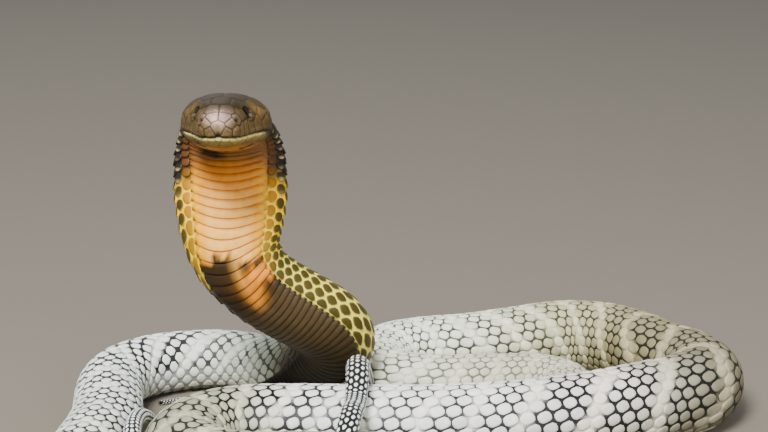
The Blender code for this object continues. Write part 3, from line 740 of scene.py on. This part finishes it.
coat = []
ROWS = 17
coat.append(scales("scales_neck", [scale_zone(3, 226, ROWS)]))
coat.append(scales("scales_left_coil", [scale_zone(226, 560, ROWS)]))
coat.append(scales("scales_front_fold", [scale_zone(560, 1066, ROWS)]))
coat.append(scales("scales_front_run", [scale_zone(1066, 1420, ROWS)]))
coat.append(scales("scales_back_run", [scale_zone(1420, 1880, ROWS)]))
coat.append(scales("scales_tail", [scale_zone(1880, 1948, 13), scale_zone(1948, 2170, 9),
                                   scale_zone(2170, 2320, 7), scale_zone(2320, BODY_L - 3, 5)]))

# %% [markdown]
# ## Belly scutes
# Under the body one wide scute follows the other, each lying over the front of the next, as roof tiles do.
# On the raised neck they face the viewer. Each is a thin, curved, closed tile.

# %% Scutes
ACROSS = 14


def scutes(name, s0, s1):
    first, last = np.interp((s0, s1), line_s, scute_n)
    num = np.arange(math.ceil(first), math.ceil(last))
    a, b = np.interp(num, scute_n, line_s), np.interp(num + 1, scute_n, line_s)
    n = len(num)
    x = np.linspace(-1, 1, ACROSS + 1)
    along = np.array([0.0, 0.5, 0.93, 1.04])
    high = np.array([-0.55, -0.22, -0.02, -0.16])
    e = belly_edge((a + b) / 2)
    size = np.interp((a + b) / 2, [-60, 1900, 2000, 2450], [1, 1, 0.6, 0.3])
    # the side ends are rounded back
    back = 0.25 * np.abs(x) ** 6
    s = a[:, None, None] + (b - a)[:, None, None] * (along[None, :, None] + back[None, None, :] * (along[None, :, None] < 1))
    bow = np.interp((a + b) / 2, [-10, 30, 75, 100, 130, 300], [5.5, 5.5, 4.5, 2.0, 0.8, 0.4])
    s = s + bow[:, None, None] * (0.45 - x[None, None, :] ** 2)
    t = 1.02 * e[:, None, None] * x[None, None, :] + 0 * s
    edge = 0.35 * np.abs(x) ** 8
    h = (high[None, :, None] - edge[None, None, :] + 0.6) * size[:, None, None] - 0.6 * size[:, None, None] + 0 * s
    top = on_body(s, t, h)
    bottom = on_body(s, t, np.full_like(s, -0.95) * size[:, None, None])
    rows = len(along)
    per = rows * (ACROSS + 1)
    grid = np.arange(per).reshape(rows, ACROSS + 1)
    quad = np.stack([grid[:-1, :-1], grid[:-1, 1:], grid[1:, 1:], grid[1:, :-1]], axis=-1).reshape(-1, 4)
    under = quad[:, ::-1] + per
    rim = np.r_[grid[0, :], grid[1:, -1], grid[-1, -2::-1], grid[-2:0:-1, 0]]
    nxt = np.roll(rim, -1)
    wall = np.stack([rim, rim + per, nxt + per, nxt], axis=-1)
    base = (np.arange(n) * 2 * per)[:, None, None]
    faces = [(base + f[None]).reshape(-1, 4) for f in (quad, under, wall)]
    pos = np.concatenate([top.reshape(n, per, 3), bottom.reshape(n, per, 3)], axis=1)
    c = belly_paint(s, t)
    c = c * (1 + 0.04 * rng.standard_normal((n, 1, 1, 1)))
    # painted shade along each scute's front and rear edges, where one lies over the next: softer and warmer on the
    # throat than below it; the undersides are painted darker too
    soft = np.interp((a + b) / 2, [78, 96, 200, 240], [1, 0.55, 0.45, 0])[:, None, None, None]
    line = np.array([0.62, 1.04, 1.0, 0.55])[None, :, None, None]
    warm = line ** np.array([0.45, 0.9, 1.3])
    c = (c * (line + (warm - line) * soft)).reshape(n, per, 3)
    tint = np.concatenate([c, c * (0.5 + 0.35 * soft[:, 0])], axis=1)
    root = unwrap_place((a + b) / 2, np.zeros(n))
    uv1 = root[:, None, :] + 0.003 * np.stack([(s - a[:, None, None]) / 10, t], axis=-1).reshape(n, per, 2)
    uv = np.concatenate([uv1, uv1], axis=1)
    return make_mesh(name, pos, faces, tint, uv)


coat.append(scutes("scutes_neck", -9, 226))
coat.append(scutes("scutes_body", 226, 1940))
coat.append(scutes("scutes_tail", 1940, BODY_L - 2))

# %% [markdown]
# ## The head
# The shields of the head fit edge to edge like paving, with thin dark seams. Each is grown from one place:
# a point of the head belongs to the shield whose place is nearest, and the seam runs where two are equally
# near. Heights and colours are read from the distance to that seam. The mouth is a long groove, the
# nostrils are pits, and the eyes lie in sockets under a brow.

# %% Places of the shields
# (l forward, x sideways, z up, how large it grows), in mm; those off the middle come in pairs
SHIELDS = [
    (51.4, 0, -0.2, 2.6),                                                    # rostral
    (35.0, 0, 10.8, 4.6),                                                    # frontal
    (48.8, 2.6, 4.2, 2.6), (43.6, 3.2, 7.9, 3.2),                            # internasal, prefrontal
    (34.5, 6.6, 9.2, 2.8), (23.5, 5.2, 12.4, 5.4), (11.5, 5.2, 13.0, 5.0),   # brow, parietal, occipital
    (24.5, 12.6, 8.6, 3.4), (15.5, 14.2, 9.6, 3.4), (19.5, 16.2, 4.6, 3.2),  # temples
    (10.0, 17.6, 5.4, 3.0), (6.0, 14.6, 9.8, 2.6), (3.4, 4.6, 13.4, 2.4), (2.8, 10.6, 11.8, 2.4), (3, 18.6, 5, 2.4),
    (49.2, 5.6, 1.2, 1.9), (45.6, 7.9, 2.4, 1.9), (39.8, 9.4, 5.2, 2.4),     # nasals, front of the eye
    (28.2, 11.4, 9.0, 1.5), (27.2, 12.9, 6.2, 1.5), (28.0, 13.4, 3.4, 1.5),  # behind the eye
    (50.0, 4.0, -2.6, 1.6), (47.0, 7.4, -2.0, 1.9), (43.2, 9.6, -1.6, 2.1), (38.4, 11.2, -1.0, 2.4),
    (32.6, 12.8, -0.2, 2.6), (26.0, 15.2, 0.6, 3.0), (18.0, 18.4, 0.4, 3.4), (9.6, 20.4, -0.4, 2.8),
    (50.4, 0, -5.6, 1.6),                                                    # chin tip
    (49.2, 3.4, -6.2, 1.6), (46.2, 6.6, -6.6, 1.9), (42.2, 8.8, -6.4, 2.1), (37.2, 10.2, -6.0, 2.4),
    (31.0, 12.2, -5.6, 2.7), (24.0, 14.6, -5.2, 3.0), (16.6, 17.6, -5.2, 3.0), (9.4, 19.4, -6.2, 2.8),
    (44.6, 2.6, -9.0, 2.8), (37.6, 2.8, -10.4, 3.0),                         # chin shields
]
for k, l in enumerate(np.arange(31.0, 3.0, -3.9)):                           # small scales of the throat
    for m in range(4):
        x = 2.1 + 4.0 * m + (k % 2) * 1.9
        w = float(lookup(WIDTH, l))
        if x < w * 0.74:
            SHIELDS.append((float(l), x, -float(lookup(UNDER, l)) * (1 - (x / w) ** 2.1) ** (1 / 2.1), 1.9))
SITES = np.array([(l, x, z, g) for l, x, z, g in SHIELDS] + [(l, -x, z, g) for l, x, z, g in SHIELDS if x > 0])


def mouth_at(l):
    return lookup([(a, b) for a, b in MOUTH], l)


def seam(p):
    """Distance in mm to the nearest seam, and the number of the shield, for points (n, 3)."""
    d = ((p[:, None, :] - SITES[None, :, :3]) ** 2).sum(axis=2) - SITES[None, :, 3] ** 2
    lip = mouth_at(p[:, 0])
    apart = (p[:, 2] > lip)[:, None] != (SITES[None, :, 2] > mouth_at(SITES[:, 0])[None, :])
    d = np.where(apart & (p[:, 0] > 8)[:, None], d + 400, d)
    order = np.argpartition(d, 1, axis=1)[:, :2]
    a, b = order[:, 0], order[:, 1]
    r = np.arange(len(p))
    swap = d[r, a] > d[r, b]
    a, b = np.where(swap, b, a), np.where(swap, a, b)
    gap = np.linalg.norm(SITES[a, :3] - SITES[b, :3], axis=1)
    return (d[r, b] - d[r, a]) / (2 * gap), a


# %% The head's shell
HEAD_T = 320
head_l = np.r_[HEAD_L - 0.02 - (HEAD_L - 2) * np.linspace(0, 1, 210) ** 1.35, 1.2, 0.2, -1.0, -2.4]
ss, tt = np.meshgrid(-head_l, np.arange(HEAD_T) / HEAD_T, indexing="ij")
base = on_body(ss, tt, 0 * ss)
rel = base + SHIFT - HEAD_O
local = np.stack([rel @ HEAD_F - 0.15, rel @ HEAD_R, rel @ HEAD_U], axis=-1).reshape(-1, 3)
fold = local.copy()
near, which = seam(fold)
lip = local[:, 2] - mouth_at(local[:, 0])
ax = np.abs(local[:, 1])
in_mouth = ramp(local[:, 0], 7, 11)
eye_d = np.linalg.norm((fold * [1, 0, 1] + np.stack([0 * ax, ax, 0 * ax], axis=-1)) - np.array(EYE), axis=1)
eye_flat = np.hypot(local[:, 0] - EYE[0], (local[:, 2] - EYE[2]) * 1.2)
by_eye = (ax > 6) & (eye_flat < 9)
nose = np.hypot(local[:, 0] - NOSTRIL[0], (local[:, 2] - NOSTRIL[2]) * 1.2) + 9 * (ax < 3)
notch = np.hypot(local[:, 1] / 1.1, (local[:, 2] + 3.9) / 1.3) + 9 * (local[:, 0] < 47)
h = 0.42 * (1 - np.exp(-near / 0.55)) + 0.10 * (1 - np.exp(-near / 2.2))
h += -1.15 * np.exp(-(lip / 0.42) ** 2) * in_mouth
h += 0.42 * np.exp(-((lip - 1.1) / 0.9) ** 2) * in_mouth + 0.34 * np.exp(-((lip + 1.2) / 1.0) ** 2) * in_mouth
h += np.where(by_eye, -1.5 * (1 - ramp(eye_flat, 2.6, 3.4)) + 0.5 * np.exp(-((eye_flat - 3.9) / 0.55) ** 2), 0)
h += -1.3 * np.exp(-(nose / 1.0) ** 2) + 0.22 * np.exp(-((nose - 1.9) / 0.6) ** 2)
h += -0.9 * np.exp(-notch ** 2)
h = h * ramp(local[:, 0], -1.5, 2.5) * ramp(HEAD_L - local[:, 0], -0.2, 0.4) - 1.6 * (1 - ramp(local[:, 0], -2.5, 0.5))
head_pos = on_body(ss, tt, h.reshape(ss.shape) + 0.05)

up = local[:, 2]
fore = local[:, 0]
crown, flank, snout_highlight = srgb(42, 30, 9), srgb(76, 58, 22), srgb(190, 160, 148)
c = blend(flank + 0 * local, crown, ramp(up, 5, 10.5))
c = blend(c, srgb(94, 74, 40), ramp(-up, -3, 2) * ramp(fore, 20, 40))
# painted highlight: a pale pinkish sheen on the front of the snout, mottled
c = blend(c, snout_highlight, ramp(fore, 37, 46) * np.exp(-((up - 3.4) / 3.4) ** 2 - (ax / 5.6) ** 2)
          * (0.92 + 0.26 * wobble(ax * 2.2, up * 2.4) + 0.26 * wobble(local[:, 1] * 3.9, up * 4.3, 1.0)))
c = blend(c, srgb(128, 96, 48), np.exp(-((fore - 23) / 6) ** 2 - ((up - 7) / 3.6) ** 2) * 0.5)
shade = 1 + 0.13 * np.sin(which * 12.9898 + 1.7)
c = c * shade[:, None]
c = c * (1 + 0.10 * wobble(fore * 0.9, up * 1.1 + ax)[:, None])
chin = ramp(-lip, 0.2, 0.7)
under_c = blend(srgb(150, 130, 62) + 0 * c, srgb(110, 80, 26), ramp(-lip, 1.8, 4.5))
under_c = blend(under_c, srgb(172, 112, 42), ramp(-up, 8, 11) * (1 - ramp(fore, 30, 46)))
lip_line = np.exp(-((lip + 0.85) / 0.58) ** 2) * ramp(fore, 12, 24) * (0.88 + 0.2 * wobble(ax * 1.1, fore * 0.5))
under_c = blend(under_c, srgb(240, 224, 142), lip_line)
mark = np.exp(-((local[:, 1] + 9.5) / 4.6) ** 2 - ((fore - 21) / 3.0) ** 2) * (up < -5)
mark = mark + np.exp(-((local[:, 1] - 10) / 2.6) ** 2 - ((fore - 27) / 2.4) ** 2) * (up < -5)
under_c = blend(under_c, srgb(44, 34, 22), ramp(mark, 0.25, 0.6))
c = blend(c, under_c, chin)
c = blend(c, srgb(64, 50, 34), ramp(ax, 17, 20) * ramp(-lip, -3, 0.5))
dark = srgb(24, 18, 13)
seam_w = 1 - ramp(near, 0.10, 0.42)
c = blend(c, blend(dark + 0 * c, under_c * 0.55, chin), seam_w * (0.85 - 0.35 * chin))
c = blend(c, dark + 0 * c, np.exp(-(lip / 0.34) ** 2) * in_mouth)
# painted shade: the socket round the eye ball is painted nearly black
c = blend(c, dark + 0 * c, np.where(by_eye, 1 - ramp(eye_flat, 2.9, 3.5), 0) * 0.9)
# painted shade in the nostril pits and the notch of the lip
c = blend(c, dark + 0 * c, np.clip(np.exp(-(nose / 1.0) ** 2) + np.exp(-notch ** 2), 0, 1))

n_r, n_t = ss.shape
idx = np.arange(n_r * n_t).reshape(n_r, n_t)
quads = np.stack([idx[:-1], np.roll(idx, -1, 1)[:-1], np.roll(idx, -1, 1)[1:], idx[1:]], axis=-1).reshape(-1, 4)
verts = np.vstack([head_pos.reshape(-1, 3), head_pos[0].mean(axis=0), head_pos[-1].mean(axis=0)])
cap0 = np.stack([np.full(n_t, len(verts) - 2), np.roll(idx[0], -1), idx[0]], axis=-1)
cap1 = np.stack([np.full(n_t, len(verts) - 1), idx[-1], np.roll(idx[-1], -1)], axis=-1)
shields = make_mesh("head_shields", verts, [quads, cap0, cap1], np.vstack([c, c[:1], c[-1:]]))

# %% [markdown]
# ## Eyes
# Each eye is a plain glossy ball. A snake has no eyelids: a clear scale covers the eye, so it always shines.

# %% Eyes
eyes = []
for side, name in ((-1, "eye_left"), (1, "eye_right")):
    centre = (head_world((EYE[0], side * EYE[1], EYE[2])) - SHIFT) * MM
    bpy.ops.mesh.primitive_uv_sphere_add(segments=48, ring_count=32, radius=EYE_R * MM, location=centre)
    eye = bpy.context.object
    eye.name = "ball_" + name
    bpy.ops.object.shade_smooth()
    bpy.ops.object.transform_apply(location=True, rotation=True, scale=True)
    eye.select_set(False)
    eyes.append((eye, name))
print("eyes at", [round(v, 4) for v in centre])

# %% [markdown]
# ## Materials
# One small group of nodes gives every horny part its fine unevenness: the paint from the mesh, a little
# cloudiness in it, and a bump too fine to model.

# %% The shared group for horn


def horn_group():
    g = bpy.data.node_groups.new("Horn", "ShaderNodeTree")
    g.interface.new_socket("Cloud Scale", in_out="INPUT", socket_type="NodeSocketFloat")
    g.interface.new_socket("Cloud", in_out="INPUT", socket_type="NodeSocketFloat")
    for name, kind in (("Color", "NodeSocketColor"), ("Roughness", "NodeSocketFloat"), ("Height", "NodeSocketFloat")):
        g.interface.new_socket(name, in_out="OUTPUT", socket_type=kind)
    n, link = g.nodes, g.links.new
    gin, out = n.new("NodeGroupInput"), n.new("NodeGroupOutput")
    tint = n.new("ShaderNodeAttribute")
    tint.attribute_name = "Tint"
    coord = n.new("ShaderNodeTexCoord")
    cloud = n.new("ShaderNodeTexNoise")
    cloud.inputs["Detail"].default_value = 4
    link(coord.outputs["Object"], cloud.inputs["Vector"])
    link(gin.outputs["Cloud Scale"], cloud.inputs["Scale"])
    amount = n.new("ShaderNodeMapRange")
    amount.inputs["From Min"].default_value, amount.inputs["From Max"].default_value = 0.3, 0.7
    low = n.new("ShaderNodeMath")
    low.operation = "SUBTRACT"
    low.inputs[0].default_value = 1.0
    high = n.new("ShaderNodeMath")
    high.operation = "ADD"
    high.inputs[0].default_value = 1.0
    for m, key in ((low, "To Min"), (high, "To Max")):
        link(gin.outputs["Cloud"], m.inputs[1])
        link(m.outputs[0], amount.inputs[key])
    link(cloud.outputs["Fac"], amount.inputs["Value"])
    mix = n.new("ShaderNodeMix")
    mix.data_type, mix.blend_type = "RGBA", "MULTIPLY"
    mix.inputs["Factor"].default_value = 1.0
    link(tint.outputs["Color"], mix.inputs["A"])
    link(amount.outputs["Result"], mix.inputs["B"])
    link(mix.outputs["Result"], out.inputs["Color"])
    rough = n.new("ShaderNodeMapRange")
    rough.inputs["To Min"].default_value, rough.inputs["To Max"].default_value = 0.38, 0.56
    link(cloud.outputs["Fac"], rough.inputs["Value"])
    link(rough.outputs["Result"], out.inputs["Roughness"])
    fine = n.new("ShaderNodeTexNoise")
    fine.inputs["Scale"].default_value = 2600
    fine.inputs["Detail"].default_value = 2
    link(coord.outputs["Object"], fine.inputs["Vector"])
    link(fine.outputs["Fac"], out.inputs["Height"])
    return g


HORN = horn_group()


def horn_material(name, cloud_scale, cloud, coat, bump, shine=0.4):
    m = bpy.data.materials.new(name)
    m.use_nodes = True
    n, link = m.node_tree.nodes, m.node_tree.links.new
    bsdf = n["Principled BSDF"]
    g = n.new("ShaderNodeGroup")
    g.node_tree = HORN
    g.inputs["Cloud Scale"].default_value = cloud_scale
    g.inputs["Cloud"].default_value = cloud
    b = n.new("ShaderNodeBump")
    b.inputs["Strength"].default_value = bump
    b.inputs["Distance"].default_value = 0.0002
    link(g.outputs["Height"], b.inputs["Height"])
    link(g.outputs["Color"], bsdf.inputs["Base Color"])
    link(g.outputs["Roughness"], bsdf.inputs["Roughness"])
    link(b.outputs["Normal"], bsdf.inputs["Normal"])
    bsdf.inputs["Coat Weight"].default_value = coat
    bsdf.inputs["Coat Roughness"].default_value = 0.25
    bsdf.inputs["Specular IOR Level"].default_value = shine
    return m


scale_mat = horn_material("scale_horn", 260, 0.10, 0.03, 0.35, 0.2)
skin_mat = horn_material("bare_skin", 180, 0.15, 0.0, 0.6)
head_mat = horn_material("shield_horn", 320, 0.22, 0.04, 0.5, 0.18)
eye_mat = bpy.data.materials.new("eye_gloss")
eye_mat.use_nodes = True
look = eye_mat.node_tree.nodes["Principled BSDF"]
look.inputs["Base Color"].default_value = (*srgb(12, 9, 7), 1)
look.inputs["Roughness"].default_value = 0.2
look.inputs["Specular IOR Level"].default_value = 0.12
for piece in coat:
    piece.data.materials.append(scale_mat)
skin.data.materials.append(skin_mat)
shields.data.materials.append(head_mat)
for eye, _ in eyes:
    eye.data.materials.append(eye_mat)
print(len(bpy.data.materials), "materials")

# %% [markdown]
# ## What stands for what
# The one skin stands for all the lengths of the body and for the head with its jaw; the plates ride on it.

flesh = [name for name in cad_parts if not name.startswith("eye_")]
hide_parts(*flesh)
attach(skin, "root")
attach(shields, "root")
for piece in coat:
    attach(piece, "root")
for eye, name in eyes:
    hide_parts(name)
    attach(eye, "root")
print("replaced", len(flesh) + 2, "nodes")

# %% [markdown]
# ## Floor, light and camera
# Soft light from above, as under a bright cloudy sky, on a plain floor. The camera looks down a little
# from about a metre away.

# %% Floor
bpy.ops.mesh.primitive_plane_add(size=8, location=(0, 0, -0.0004))
floor = bpy.context.object
floor.name = "floor"
floor_mat = bpy.data.materials.new("floor_paint")
floor_mat.use_nodes = True
floor_look = floor_mat.node_tree.nodes["Principled BSDF"]
floor_look.inputs["Base Color"].default_value = (*srgb(118, 110, 98), 1)
floor_look.inputs["Roughness"].default_value = 0.9
floor.data.materials.append(floor_mat)
floor.select_set(False)

# %% Light
world = bpy.data.worlds.new("sky")
bpy.context.scene.world = world
world.use_nodes = True
world.node_tree.nodes["Background"].inputs["Color"].default_value = (0.90, 0.95, 1.0, 1)
world.node_tree.nodes["Background"].inputs["Strength"].default_value = 0.62
for name, place, aim, size, power in (("sky_panel", (-0.35, -0.95, 1.35), (0, 0, 0.05), 0.6, 55),
                                      ("side_panel", (0.9, -1.3, 0.6), (0, 0, 0.08), 0.9, 10),
                                      ("back_panel", (-0.5, 1.4, 1.4), (0, 0, 0.04), 1.0, 4)):
    light = bpy.data.lights.new(name, "AREA")
    light.shape, light.size, light.energy = "DISK", size, power
    lamp = bpy.data.objects.new(name, light)
    lamp.location = place
    lamp.rotation_euler = (Vector(aim) - Vector(place)).to_track_quat("-Z", "Y").to_euler()
    bpy.context.scene.collection.objects.link(lamp)

# %% Camera
lens = bpy.data.cameras.new("camera")
lens.lens, lens.sensor_width = 84.4, 36
camera = bpy.data.objects.new("camera", lens)
place = (np.array([0, -965.9, 352.8]) - SHIFT) * MM
aim = (np.array([0, 0, 94.0]) - SHIFT) * MM
camera.location = place
camera.rotation_euler = Vector(aim - place).to_track_quat("-Z", "Y").to_euler()
bpy.context.scene.collection.objects.link(camera)
bpy.context.scene.camera = camera
print("camera", np.round(place, 4), "looks at", np.round(aim, 4))
